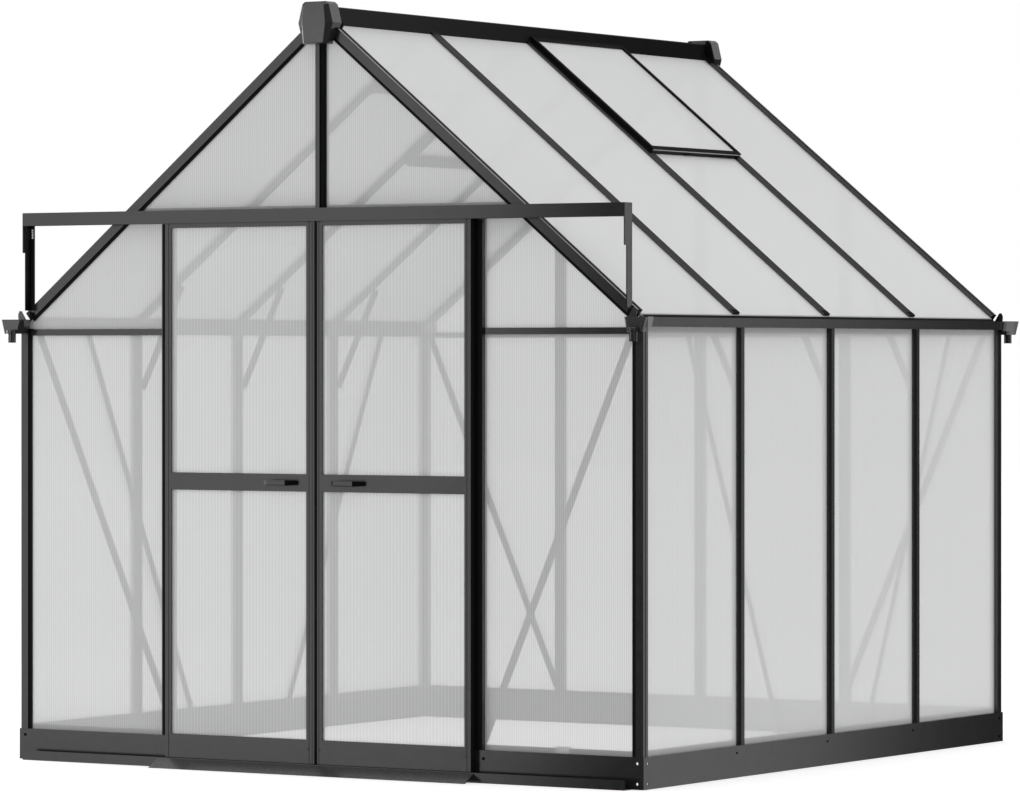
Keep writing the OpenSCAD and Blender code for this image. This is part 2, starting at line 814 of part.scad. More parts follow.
module leaf_panes(meet) {
  y = (door_front_y + door_back_y - door_pane_t) / 2;
  width = door_w - stile_w - meet;
  mid0 = mid_rail_z - mid_rail_h / 2;
  mid1 = mid_rail_z + mid_rail_h / 2;
  for (z = [[bottom_rail_top_z, mid0], [mid1, top_rail_z]])
    translate([stile_w, y, z[0]]) cube([width, door_pane_t, z[1] - z[0]]);
}

module left_leaf() translate([-door_gap / 2 - door_w, 0, 0]) children();
module right_leaf() mirror([1, 0, 0]) left_leaf() children();

module door_left_frame() color(frame_colour) left_leaf() door_leaf(stile_w + strip_w);
module door_right_frame() color(frame_colour) right_leaf() door_leaf(stile_w);
module door_left_panes() color(pane_colour) left_leaf() leaf_panes(stile_w + strip_w);
module door_right_panes() color(pane_colour) right_leaf() leaf_panes(stile_w);

// Bow handle on the middle rail: two slanted legs and a straight grip.
module bow_handle(x) {
  half = handle_l / 2;
  grip = grip_l / 2;
  y = door_front_y;
  t = handle_t;
  translate([x, 0, mid_rail_z - handle_h / 2]) linear_extrude(handle_h)
    polygon([
      [-half, y], [-grip, y - handle_out], [grip, y - handle_out], [half, y],
      [half - 14, y], [grip - 4, y - handle_out + t], [-grip + 4, y - handle_out + t],
      [-half + 14, y],
    ]);
}

module door_left_handle() color(frame_colour) bow_handle(-handle_x);
module door_right_handle() color(frame_colour) bow_handle(handle_x);

// ---- the part ----

module place() translate([0, y_shift, 0]) children();

place() base_front();
place() base_rear();
place() base_left();
place() base_right();
place() corner_posts();
place() studs_left();
place() studs_right();
place() door_jambs();
place() gable_studs_rear();
place() gable_mullion_front();
place() gable_rails();
place() door_header();
place() sill_rails();
place() eave_beam_left();
place() eave_beam_right();
place() rafters_left();
place() rafters_right();
place() gable_rafters_front();
place() gable_rafters_rear();
place() ridge_beam();
place() ridge_caps();
place() purlin_left();
place() wall_braces();
place() gable_braces();
place() knee_braces();
place() gutter_left();
place() gutter_right();
place() gutter_heads();
place() panes_left();
place() panes_right();
place() panes_front();
place() panes_rear();
place() roof_panes_left();
place() roof_panes_right();
place() vent_frames();
place() vent_panes();
place() door_track();
place() track_brackets();
place() guide_rail();
place() threshold_ramp();
place() door_left_frame();
place() door_left_panes();
place() door_left_handle();
place() door_right_frame();
place() door_right_panes();
place() door_right_handle();
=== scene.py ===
"""Looks of the greenhouse: materials, seals, fasteners, handles, caps and gutter heads.

Metres, in the part's own frame: +X right along the door gable, -Y out of the doors, +Z up.
"""
import math

import bmesh
import bpy
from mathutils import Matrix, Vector


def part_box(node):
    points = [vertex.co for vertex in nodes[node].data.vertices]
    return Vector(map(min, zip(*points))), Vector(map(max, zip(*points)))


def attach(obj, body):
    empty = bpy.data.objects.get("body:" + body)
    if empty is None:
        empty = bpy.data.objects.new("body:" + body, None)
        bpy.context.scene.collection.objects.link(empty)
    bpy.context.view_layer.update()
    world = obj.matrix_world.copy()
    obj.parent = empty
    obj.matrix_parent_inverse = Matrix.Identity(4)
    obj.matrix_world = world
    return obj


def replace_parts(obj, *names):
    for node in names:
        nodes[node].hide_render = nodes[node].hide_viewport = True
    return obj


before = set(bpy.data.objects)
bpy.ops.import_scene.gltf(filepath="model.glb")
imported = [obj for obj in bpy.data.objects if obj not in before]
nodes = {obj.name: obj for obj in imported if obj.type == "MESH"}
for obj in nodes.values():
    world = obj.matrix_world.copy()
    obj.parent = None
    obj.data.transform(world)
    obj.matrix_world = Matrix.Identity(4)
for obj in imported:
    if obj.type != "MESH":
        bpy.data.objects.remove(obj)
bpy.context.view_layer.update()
scene = bpy.context.scene

# ---- materials ----

COLOUR_DRIFT = 6.0      # noise scale of the slow change of colour on a coated surface
GLOSS_DRIFT = 30.0      # noise scale of its uneven gloss
GLOSS_SPREAD = 0.02     # how far the roughness strays to each side
SHEET_DRIFT = 0.8       # noise scale of the change of tint on a sheet
SHEET_TINT = (0.762, 0.765, 0.768)
WAVE_LENGTH = math.pi * 2 / 20    # length of one band of the wave texture at scale 1


def new_material(name):
    m = bpy.data.materials.new(name)
    m.use_nodes = True
    t = m.node_tree
    t.nodes.clear()
    out = t.nodes.new("ShaderNodeOutputMaterial")
    bsdf = t.nodes.new("ShaderNodeBsdfPrincipled")
    t.links.new(bsdf.outputs["BSDF"], out.inputs["Surface"])
    return m, t, bsdf


def noise(t, vector, scale, detail=3.0):
    n = t.nodes.new("ShaderNodeTexNoise")
    n.inputs["Scale"].default_value = scale
    n.inputs["Detail"].default_value = detail
    t.links.new(vector, n.inputs["Vector"])
    return n.outputs["Fac"]


def ramp(t, fac, stops):
    """Colour ramp from (position, grey) or (position, colour) stops."""
    r = t.nodes.new("ShaderNodeValToRGB")
    while len(r.color_ramp.elements) < len(stops):
        r.color_ramp.elements.new(0.5)
    for e, (pos, value) in zip(r.color_ramp.elements, stops):
        e.position = pos
        e.color = (*value, 1) if isinstance(value, tuple) else (value, value, value, 1)
    t.links.new(fac, r.inputs["Fac"])
    return r.outputs["Color"]


def bump(t, height, bsdf, strength, distance):
    b = t.nodes.new("ShaderNodeBump")
    b.inputs["Strength"].default_value = strength
    b.inputs["Distance"].default_value = distance
    t.links.new(height, b.inputs["Height"])
    t.links.new(b.outputs["Normal"], bsdf.inputs["Normal"])


def coated(name, dark, light, rough, grain, gloss=1.0, ior=1.5):
    """Painted or moulded surface: slow colour drift, fine grain in the bump, uneven gloss."""
    m, t, bsdf = new_material(name)
    v = t.nodes.new("ShaderNodeTexCoord").outputs["Object"]
    colour = ramp(t, noise(t, v, COLOUR_DRIFT), [(0.3, dark), (0.7, light)])
    t.links.new(colour, bsdf.inputs["Base Color"])
    roughness = ramp(
        t, noise(t, v, GLOSS_DRIFT),
        [(0.3, rough - GLOSS_SPREAD), (0.7, rough + GLOSS_SPREAD)],
    )
    t.links.new(roughness, bsdf.inputs["Roughness"])
    bsdf.inputs["Specular IOR Level"].default_value = gloss
    bsdf.inputs["IOR"].default_value = ior
    bump(t, noise(t, v, grain, 2.0), bsdf, 0.2, 0.0001)
    return m


def glazing(name, axis, flute, contrast, denser=0.0):
    """Twin-wall sheet: shows a pale picture of what is behind it, paler the flatter it is seen.

    The flutes repeat along the axis and hide more by contrast; denser adds haze seen squarely.
    """
    m, t, bsdf = new_material(name)
    v = t.nodes.new("ShaderNodeTexCoord").outputs["Object"]
    wave = t.nodes.new("ShaderNodeTexWave")
    wave.bands_direction = axis
    wave.inputs["Scale"].default_value = WAVE_LENGTH / flute
    t.links.new(v, wave.inputs["Vector"])
    dark = tuple(c * 0.98 for c in SHEET_TINT)
    tint = ramp(t, noise(t, v, SHEET_DRIFT, 1.0), [(0.3, dark), (0.7, SHEET_TINT)])
    t.links.new(tint, bsdf.inputs["Base Color"])
    facing = t.nodes.new("ShaderNodeLayerWeight")
    facing.inputs["Blend"].default_value = 0.5
    haze = ramp(t, facing.outputs["Facing"], [
        (0, 0.37 + denser), (0.15, 0.38 + denser), (0.47, 0.52), (0.63, 0.72), (1, 1),
    ])
    ribs = ramp(t, wave.outputs["Fac"], [(0, contrast), (0.35, 0.0)])
    total = t.nodes.new("ShaderNodeMath")
    t.links.new(haze, total.inputs[0])
    t.links.new(ribs, total.inputs[1])
    t.links.new(total.outputs["Value"], bsdf.inputs["Alpha"])
    bsdf.inputs["Roughness"].default_value = 0.35
    bsdf.inputs["Specular IOR Level"].default_value = 0.25
    bump(t, wave.outputs["Fac"], bsdf, 0.08, 0.0004)
    return m


WALL_FLUTE = 0.008
DOOR_FLUTE = 0.0128
METAL_GRAIN = 900.0
PLASTIC_GRAIN = 600.0
RUBBER_GRAIN = 1500.0
TAPE_GRAIN = 400.0
ZINC_GRAIN = 800.0

# Powder coats: the frame's own, then darker, duller copies of it that are painted shade on some of
# its bars, and a lighter copy that is painted light on the threshold ramp.
powder = coated(
    "powder_coat", (0.0075, 0.0078, 0.0082), (0.0085, 0.0088, 0.0092), 0.21, METAL_GRAIN)
# Darker, duller copy for the gutters: painted shade.
powder_gutter_shade = coated(
    "powder_coat_gutter_painted_shade", (0.0065, 0.0068, 0.0072), (0.0075, 0.0078, 0.0082), 0.24,
    METAL_GRAIN, 0.75)
# Darker, duller copy for the studs, also used on the vent catches and door screws: painted shade.
powder_low_gloss_shade = coated(
    "powder_coat_low_gloss_painted_shade", (0.006, 0.0062, 0.0066), (0.007, 0.0072, 0.0076), 0.26,
    METAL_GRAIN, 0.5)
powder_dark = coated(
    "powder_coat_shaded", (0.005, 0.0052, 0.0055), (0.006, 0.0062, 0.0065), 0.3,
    METAL_GRAIN, 0.25)
# Lighter copy for the threshold ramp: painted light on its slope.
powder_step_lit = coated(
    "powder_coat_step_painted_light", (0.030, 0.0305, 0.031), (0.036, 0.0365, 0.037), 0.26, METAL_GRAIN)

# Plastics, rubber, tape and zinc, with a paler copy of the moulded plastic that is painted light.
plastic = coated(
    "moulded_plastic", (0.013, 0.0131, 0.0133), (0.015, 0.0151, 0.0153), 0.24,
    PLASTIC_GRAIN, ior=1.62)
plastic_lit = coated(
    "moulded_plastic_painted_light", (0.13, 0.131, 0.132), (0.15, 0.151, 0.152), 0.3, PLASTIC_GRAIN)
clip_plastic = coated(
    "clip_plastic", (0.44, 0.445, 0.45), (0.50, 0.505, 0.51), 0.3, PLASTIC_GRAIN)
# Black rubber, also used for black strips and blocks that are painted shade.
rubber_and_shade = coated(
    "black_rubber_and_painted_shade", (0.0022, 0.0022, 0.0023), (0.003, 0.003, 0.0031), 0.5, RUBBER_GRAIN, 0.15)
# Pale edge tape, also used for the painted highlights along the gable rafters.
tape_and_highlight = coated(
    "pale_edge_tape_and_painted_highlight", (0.36, 0.365, 0.37), (0.42, 0.425, 0.43), 0.35, TAPE_GRAIN, 0.5)
zinc = coated("bright_zinc", (0.88, 0.885, 0.89), (0.94, 0.945, 0.95), 0.3, ZINC_GRAIN)

# Sheets, named by the direction in which their flutes repeat.
sheet_x = glazing("twin_wall_across", "X", WALL_FLUTE, 0.08)
sheet_y = glazing("twin_wall_along", "Y", WALL_FLUTE, 0.08)
sheet_door = glazing("twin_wall_door", "X", DOOR_FLUTE, 0.1, 0.03)

# What the CAD nodes get; one that isn't named here is powder-coated.
NODE_MATERIALS = {
    "panes_front": sheet_x,
    "panes_rear": sheet_x,
    "panes_left": sheet_y,
    "panes_right": sheet_y,
    "roof_panes_left": sheet_y,
    "roof_panes_right": sheet_y,
    "vent_panes": sheet_y,
    "door_left_panes": sheet_door,
    "door_right_panes": sheet_door,
    "studs_left": powder_low_gloss_shade,
    "studs_right": powder_low_gloss_shade,
    "gutter_left": powder_gutter_shade,
    "gutter_right": powder_gutter_shade,
    "ridge_beam": powder_dark,
    "threshold_ramp": powder_step_lit,
    "vent_frames": rubber_and_shade,
    "ridge_caps": plastic,
    "gutter_heads": plastic,
}

for name, obj in nodes.items():
    obj.data.materials.clear()
    obj.data.materials.append(NODE_MATERIALS.get(name, powder))

# ---- main lines of the house ----

PITCH = math.radians(39.05)
DOWN = Vector((math.cos(PITCH), 0, -math.sin(PITCH)))
INWARD = Vector((-math.sin(PITCH), 0, -math.cos(PITCH)))
BAY = 0.608            # distance from stud to stud and from rafter to rafter
CAP_W = 0.040          # outer cap of a stud or rafter
POST_W = 0.028         # outer box of a corner post
BEAD_W = 0.014         # bead beside a corner post
BEAD_IN = 0.005        # how far the beads' faces lie behind the gable's outer face
RAFTER_W = 0.031       # face of a gable rafter

post_low, post_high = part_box("corner_posts")
track_low, track_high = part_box("door_track")
jamb_low, jamb_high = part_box("door_jambs")
cap_low, cap_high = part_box("ridge_caps")
MID_Y = (post_low[1] + post_high[1]) / 2     # middle of the house
WALL_X = post_high[0]                        # outer face of the corner posts
GABLE_Y = (post_high[1] - post_low[1]) / 2   # outer face of the gables, from the middle
FRONT_Y = MID_Y - GABLE_Y                    # outer face of the front gable
BEAD_Y = FRONT_Y + BEAD_IN
BASE_Z = post_low[2]
POST_TOP_Z = post_high[2]
APEX_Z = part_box("gable_rafters_front")[1][2]
EAVE_S = WALL_X / math.cos(PITCH)            # down the slope from the ridge to the wall's plane

# ---- mesh helpers ----


def on_slope(s, y, depth):
    """Point on the right slope: s down from the ridge line, y from the middle, depth inward."""
    return Vector((0, MID_Y + y, APEX_Z)) + DOWN * s + INWARD * depth


def add_loft(bm, rings):
    """Skins the rings of points one after another, with a face at each end."""
    loops = [[bm.verts.new(q) for q in ring] for ring in rings]
    for a, b in zip(loops, loops[1:]):
        for i in range(len(a)):
            j = (i + 1) % len(a)
            bm.faces.new((a[i], a[j], b[j], b[i]))
    bm.faces.new(loops[0][::-1])
    bm.faces.new(loops[-1])


def add_prism(bm, outline, axis, ends):
    """Draws an outline of point pairs out along axis 0, 1 or 2, from one end to the other."""
    add_loft(bm, [[(*q[:axis], end, *q[axis:]) for q in outline] for end in ends])


def add_box(bm, low, high):
    (x0, y0, z0), (x1, y1, z1) = low, high
    add_prism(bm, [(x0, y0), (x1, y0), (x1, y1), (x0, y1)], 2, (z0, z1))


def add_slope_box(bm, s, y, depth):
    """Box on the right slope, from pairs of distances as on_slope takes them."""
    ring = [(s[0], y[0]), (s[1], y[0]), (s[1], y[1]), (s[0], y[1])]
    add_loft(bm, [[on_slope(a, b, d) for a, b in ring] for d in depth])


def circle(centre, axis, radius, count, squash):
    """Ring of points about an axis; squash pulls every second one in."""
    side = axis.orthogonal().normalized()
    other = axis.cross(side)
    ring = []
    for i in range(count):
        a = 2 * math.pi * i / count
        r = radius * (1 - squash * (i % 2))
        ring.append(centre + side * math.cos(a) * r + other * math.sin(a) * r)
    return ring


def add_turned(bm, foot, axis, steps, count=24, squash=0.0):
    """Turned shape: (height, radius) steps along the axis from the foot."""
    axis = Vector(axis)
    add_loft(bm, [circle(Vector(foot) + axis * h, axis, r, count, squash) for h, r in steps])


def add_bolt(bm, foot, axis, size=0.005):
    """Pan washer with a domed hexagon head."""
    washer = [(0, size * 1.15), (size * 0.2, size * 1.15), (size * 0.25, size)]
    head = [(size * 0.2, size * 0.9), (size * 0.75, size * 0.9), (size * 0.9, size * 0.7)]
    add_turned(bm, foot, axis, washer)
    add_turned(bm, foot, axis, head, 6)


def mirror(bm, axes):
    """Adds a mirror image of the mesh so far across the middle of the house, for each axis."""
    for axis in axes:
        done = {}
        for face in list(bm.faces):
            for v in face.verts:
                if v not in done:
                    x, y, z = v.co
                    done[v] = bm.verts.new((-x, y, z) if axis == "x" else (x, 2 * MID_Y - y, z))
            new = bm.faces.new([done[v] for v in reversed(face.verts)])
            new.material_index = face.material_index


def piece(name, bm, *materials, body="building"):
    bmesh.ops.recalc_face_normals(bm, faces=bm.faces)
    mesh = bpy.data.meshes.new(name)
    bm.to_mesh(mesh)
    bm.free()
    for m in materials:
        mesh.materials.append(m)
    obj = bpy.data.objects.new(name, mesh)
    scene.collection.objects.link(obj)
    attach(obj, body)
    return obj


# ---- seals, edge strips, painted shade and painted highlights ----

SKIN = 0.0012          # how far a rubber strip stands proud of what carries it

# Black rubber over the beads beside the corner posts, which is also painted shade of the recess
# there.
bead_x = WALL_X - POST_W
bm = bmesh.new()
add_box(bm, (bead_x - BEAD_W, BEAD_Y - SKIN, BASE_Z), (bead_x, BEAD_Y, POST_TOP_Z))
mirror(bm, "xy")
piece("post_seals_and_shade", bm, rubber_and_shade)

# Black rubber along the lower edges of the gable rafters, which is also painted shade along the
# bead.
SEAL_S = (0.088, EAVE_S - 0.032)
SEAL_W = 0.0105
bead_y = -GABLE_Y + BEAD_IN
bm = bmesh.new()
add_slope_box(bm, SEAL_S, (bead_y - SKIN, bead_y), (RAFTER_W, RAFTER_W + SEAL_W))
mirror(bm, "xy")
piece("gable_seals_and_shade", bm, rubber_and_shade)

# Bulged rubber cover on the mullion over the doors, as (x, how far it stands out).
MULLION_BULGE = (
    (-0.0025, 0.0), (0.0015, 0.0018), (0.0085, 0.003), (0.0155, 0.0018), (0.0195, 0.0),
)
MULLION_GAP = 0.001
bm = bmesh.new()
add_prism(bm, [(x, BEAD_Y - out) for x, out in MULLION_BULGE], 2,
          (track_high[2] + MULLION_GAP, cap_low[2] + MULLION_GAP))
piece("mullion_seal", bm, rubber_and_shade)

# Black brush strips on the faces of the door jambs, beside the shut leaves; their black is also
# painted shade of the gap by the leaves.
leaf_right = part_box("door_right_frame")[1][0]
bm = bmesh.new()
for x0, x1 in (
    (jamb_low[0] + 0.004, jamb_low[0] + 0.012),
    (leaf_right + 0.001, jamb_high[0]),
):
    add_box(bm, (x0, jamb_low[1] - SKIN, BASE_Z), (x1, jamb_low[1], track_low[2] - 0.002))
piece("jamb_brushes_and_shade", bm, rubber_and_shade)

# Rubber buffer on the right leaf's meeting edge, up to just over its upper pane.
BUFFER_X = (0.0002, 0.0045)
leaf_x, leaf_y, leaf_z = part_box("door_right_frame")[0]
bm = bmesh.new()
add_box(bm, (leaf_x + BUFFER_X[0], leaf_y - SKIN, leaf_z + 0.002),
        (leaf_x + BUFFER_X[1], leaf_y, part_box("door_right_panes")[1][2] + 0.02))
piece("meeting_buffer", bm, rubber_and_shade, body="door_right")

# Along the roof panes' lower edges: a black strip that is painted shade of the gutter's dark
# inside, and above it, edge tape.
PANE_TOP = 0.013       # depth of the roof panes' upper faces
EAVE_SHADE_S = EAVE_S - 0.0175
pane_y = (-GABLE_Y + RAFTER_W, GABLE_Y - RAFTER_W)
for name, material, s, depth in (
    ("eave_gutter_shade", rubber_and_shade, (EAVE_SHADE_S, EAVE_S - 0.0005), 0.0112),
    ("eave_tapes", tape_and_highlight, (EAVE_S - 0.0245, EAVE_SHADE_S), 0.012),
):
    bm = bmesh.new()
    add_slope_box(bm, s, pane_y, (depth, PANE_TOP))
    mirror(bm, "x")
    piece(name, bm, material)

# Pale strip along the top of each gable rafter, a painted highlight, and beside it a black strip,
# the painted shade of a groove.
HIGHLIGHT_W = 0.007
GROOVE_W = 0.011
for name, material, y0, y1 in (
    ("rafter_highlights", tape_and_highlight, 0.0004, HIGHLIGHT_W),
    ("rafter_groove_shade", rubber_and_shade, HIGHLIGHT_W, HIGHLIGHT_W + GROOVE_W),
):
    bm = bmesh.new()
    add_slope_box(bm, (0.09, EAVE_S - 0.027), (-GABLE_Y + y0, -GABLE_Y + y1), (-0.0006, 0.0))
    mirror(bm, "xy")
    piece(name, bm, material)

# Black strips down the caps of the side walls' studs: painted shade.
STUD_SHADE_W = 0.018
STUD_SHADE_SKIN = 0.0006
stud_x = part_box("studs_right")[1][0]
bm = bmesh.new()
for i in (-1, 0, 1):
    y = MID_Y + i * BAY - CAP_W / 2 + 0.0005
    add_box(bm, (stud_x, y, BASE_Z + 0.001), (stud_x + STUD_SHADE_SKIN, y + STUD_SHADE_W, POST_TOP_Z - 0.002))
mirror(bm, "x")
piece("stud_cap_shade", bm, rubber_and_shade)

# Black blocks in the feet of the rafter caps: painted shade inside their hollow ends.
END_SHADE_S = (EAVE_S - 0.043, EAVE_S - 0.0243)
END_SHADE_HALF = 0.0195
END_SHADE_DEPTH = (0.0038, 0.0125)
bm = bmesh.new()
for i in (-1, 0, 1):
    add_slope_box(bm, END_SHADE_S, (i * BAY - END_SHADE_HALF, i * BAY + END_SHADE_HALF), END_SHADE_DEPTH)
mirror(bm, "x")
piece("rafter_end_shade", bm, rubber_and_shade)

# Thin black strip down the outer face of each corner post: the painted shade of a groove.
GROOVE_IN = 0.0125
POST_GROOVE_W = 0.003
groove_y = FRONT_Y + GROOVE_IN
bm = bmesh.new()
add_box(bm, (WALL_X, groove_y, BASE_Z), (WALL_X + 0.0004, groove_y + POST_GROOVE_W, POST_TOP_Z))
mirror(bm, "xy")
piece("post_groove_shade", bm, rubber_and_shade)

# Pale sheet edge in the foot of each vent.
VENT_S = 0.665         # the vents' lower faces, down the slope from the ridge
VENT_EDGE_IN = 0.006
vent_low, vent_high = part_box("vent_frames")
vent_y = (vent_low[1] - MID_Y, vent_high[1] - MID_Y)
bm = bmesh.new()
add_slope_box(bm, (VENT_S, VENT_S + 0.0008),
              (vent_y[0] + VENT_EDGE_IN, vent_y[1] - VENT_EDGE_IN), (-0.0052, -0.0022))
mirror(bm, "x")
piece("vent_sheet_edges", bm, tape_and_highlight)

# Latches on the vents' feet, as (distance from the vent's near end, width).
bm = bmesh.new()
for start, width in ((0.23, 0.05), (0.42, 0.16)):
    y = vent_y[0] + start
    add_slope_box(bm, (VENT_S, VENT_S + 0.004), (y, y + width), (0.007, 0.0105))
mirror(bm, "x")
piece("vent_catches", bm, powder_low_gloss_shade)

# ---- bolts, knobs and screws ----

LEFT, RIGHT = (-1, 0, 0), (1, 0, 0)
FRONT, REAR = (0, -1, 0), (0, 1, 0)
UP = (0, 0, 1)
SHEET_T = 0.003        # sheet of the base and of the track's brackets
HOLE_IN = 0.024        # the base's corner holes, from the end of each side
BASE_BOLT = 0.0045
BASE_SCREW = 0.0032

base_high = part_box("base_right")[1]
side_x, base_top = base_high[0], base_high[2]
base_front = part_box("base_front")[0][1]
base_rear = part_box("base_rear")[1][1]
stud_y = (base_rear - base_front) / 4 - 0.0135    # one bay, worked out from the base

# Bolts in the base's corner holes, apart from the front right corner's, and one by the jamb.
hole_x = side_x - HOLE_IN
bm = bmesh.new()
for z in (0.018, base_top - 0.020):
    for x, y, axis in (
        (-hole_x, base_front, FRONT),
        (-hole_x, base_rear, REAR),
        (hole_x, base_rear, REAR),
        (side_x, base_rear - HOLE_IN - SHEET_T, RIGHT),
        (-side_x, base_rear - HOLE_IN - SHEET_T, LEFT),
        (-side_x, base_front + HOLE_IN + SHEET_T, LEFT),
    ):
        add_bolt(bm, (x, y, z), axis, BASE_BOLT)
add_bolt(bm, (jamb_high[0] + 0.001, base_front, base_top - 0.027), FRONT, BASE_BOLT)
piece("base_bolts", bm, rubber_and_shade)

# Screws through the base into the studs.
bm = bmesh.new()
for i in (-1, 0, 1):
    y = MID_Y + i * stud_y - 0.045
    add_bolt(bm, (-side_x, y, base_top - 0.023), LEFT, BASE_SCREW)
    add_bolt(bm, (side_x, y, base_top - 0.023), RIGHT, BASE_SCREW)
piece("base_screws", bm, rubber_and_shade)

# Star knobs that clamp the track's brackets to the gable rafters.
KNOB_Z = 1.4975
KNOB_STEPS = [(0, 0.005), (0.0035, 0.005), (0.0042, 0.0105), (0.0105, 0.0105), (0.0115, 0.008)]
bracket_low, bracket_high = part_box("track_brackets")
bm = bmesh.new()
add_turned(bm, (bracket_high[0] - 0.006, FRONT_Y + 0.003, KNOB_Z), FRONT, KNOB_STEPS, 14, 0.3)
mirror(bm, "x")
piece("bracket_knobs", bm, rubber_and_shade)

# Black strips on the inner faces of the track's brackets and on the legs' front edges: painted
# shade.
NECK_Z = 1.706         # where a bracket's wide upper plate meets its leg
BRACKET_SHADE_T = 0.0004
LEG_EDGE_SHADE_T = 0.0006
FLANGE_W = 0.015
web_x = bracket_high[0] - SHEET_T
flange_y = FRONT_Y - SHEET_T + 0.001
leg_y = FRONT_Y - 0.032
leg_z = bracket_low[2]
track_under = track_low[2] - 0.001
bm = bmesh.new()
add_box(bm, (web_x - BRACKET_SHADE_T, bracket_low[1], NECK_Z), (web_x, flange_y, track_under))
add_box(bm, (web_x - BRACKET_SHADE_T, leg_y, leg_z), (web_x, flange_y, NECK_Z))
add_box(bm, (web_x - FLANGE_W, flange_y - BRACKET_SHADE_T, leg_z), (web_x, flange_y, track_under))
add_box(bm, (web_x, leg_y - LEG_EDGE_SHADE_T, leg_z), (bracket_high[0], leg_y, NECK_Z - 0.001))
mirror(bm, "x")
piece("bracket_shade", bm, rubber_and_shade)

# Bright screws in the brackets' flanges.
SCREW_STEPS = [(0, 0.0040), (0.0010, 0.0040), (0.0016, 0.0030)]
SCREW_PITCH = 0.0083
bm = bmesh.new()
for i in range(4):
    at = (web_x - 0.0065, flange_y, track_under - 0.013 - SCREW_PITCH * i)
    add_turned(bm, at, FRONT, SCREW_STEPS, 12)
mirror(bm, "x")
piece("bracket_screws", bm, zinc)

# Pale clip that holds the right low pane's lower edge on the sill.
CLIP_X = 0.9165
CLIP_HALF = 0.0235
sill_low, sill_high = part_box("sill_rails")
bm = bmesh.new()
add_box(bm, (CLIP_X - CLIP_HALF, sill_low[1] - 0.0003, sill_low[2] + 0.0002),
        (CLIP_X + CLIP_HALF, sill_low[1] + 0.012, sill_high[2] + 0.005))
piece("sill_clip", bm, clip_plastic)

# Bolt heads where the side walls' flat braces meet the frame, at their feet and tops.
BRACE_T = 0.003
BRACE_END_IN = 0.03
brace_low, brace_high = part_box("wall_braces")
brace_x = brace_high[0] - BRACE_T
brace_ends = ((0.5, brace_low[2] + BRACE_END_IN), (1.5, brace_high[2] - BRACE_END_IN))
bm = bmesh.new()
for side in (-1, 1):
    for end in (-1, 1):
        for bays, z in brace_ends:
            add_bolt(bm, (side * brace_x, MID_Y + end * stud_y * bays, z), (-side, 0, 0))
piece("brace_bolts", bm, rubber_and_shade)

# Small countersunk screws at the corners of the door leaves.
LEAF_SCREW_STEPS = [(0, 0.0028), (0.0006, 0.0028), (0.0008, 0.0018)]
for body in ("door_left", "door_right"):
    leaf_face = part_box(body + "_frame")[0][1]
    pane_low, pane_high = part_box(body + "_panes")
    bm = bmesh.new()
    for x in (pane_low[0] - 0.008, pane_high[0] + 0.008):
        for z in (pane_low[2] - 0.03, pane_high[2] + 0.013):
            add_turned(bm, (x, leaf_face, z), FRONT, LEAF_SCREW_STEPS, 12)
    piece(body + "_screws", bm, powder_low_gloss_shade, body=body)

# ---- door handles ----

GRIP_L = 0.08
BAR_T = 0.008
BAR_R = 0.0035         # rounding of the bar's edges
CORNER_STEPS = 3
GRIP_TALL = 0.86       # height of the bar along the grip, as a share of the handle's
FOOT_TALL = 0.62       # and where it meets the door


def rounded(half_h, half_t, r):
    """Rounded rectangle as (across, up) pairs."""
    pts = []
    for cx, cz, start in ((1, 1, 0), (-1, 1, 90), (-1, -1, 180), (1, -1, 270)):
        for i in range(CORNER_STEPS + 1):
            a = math.radians(start + 90 * i / CORNER_STEPS)
            pts.append((cx * (half_t - r) + r * math.cos(a), cz * (half_h - r) + r * math.sin(a)))
    return pts


def bow_rings(low, high):
    """Rounded bar that leaves the door, runs along the grip and returns to the door."""
    x0, x1 = low[0], high[0]
    z_mid, half_h = (low[2] + high[2]) / 2, (high[2] - low[2]) / 2
    leg = (x1 - x0 - GRIP_L) / 2
    path = [(x0 + 0.007, high[1]), (x0 + leg - 0.004, low[1] + 0.008),
            (x0 + leg + 0.003, low[1] + BAR_T / 2)]
    path += [(x0 + x1 - x, y) for x, y in reversed(path)]
    last = len(path) - 1
    rings = []
    for i, (x, y) in enumerate(path):
        along = (Vector(path[min(i + 1, last)]) - Vector(path[max(i - 1, 0)])).normalized()
        normal = {0: Vector((1, 0)), last: Vector((-1, 0))}.get(i, Vector((-along.y, along.x)))
        tall = FOOT_TALL if i in (0, last) else GRIP_TALL
        rings.append([
            (x + normal.x * a, y + normal.y * a, z_mid + b * tall)
            for a, b in rounded(half_h, BAR_T / 2, BAR_R)
        ])
    return rings


for body in ("door_left", "door_right"):
    node = body + "_handle"
    rings = bow_rings(*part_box(node))
    bm = bmesh.new()
    add_loft(bm, rings)
    # The last two of the bar's five stretches, its right leg, are black: painted shade.
    for i, face in enumerate(bm.faces):
        face.material_index = int(3 <= i // len(rings[0]) < 5)
    obj = piece(node + "_bow", bm, powder, rubber_and_shade, body=body)
    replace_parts(obj, node)

# ---- ridge caps ----

CAP_END_HALF = 0.048   # half width at the cap's top and bottom
CAP_BEVEL_D = 0.012    # how deep the bevel round the cap's front reaches
CAP_IN = 0.024         # how far the cap reaches over the roof
CAP_CUT = 0.009        # cut off the upper corners
cap_mid_z = (cap_low[2] + cap_high[2]) / 2
cap_half_h = (cap_high[2] - cap_low[2]) / 2
cap_half = cap_high[0]
cap_front = cap_low[1] - MID_Y
cap_inner = -GABLE_Y + CAP_IN


def both_sides(outline):
    """Outline of (x, z) points on the right, followed by its mirror image on the left."""
    return outline + [(-x, z) for x, z in reversed(outline)]


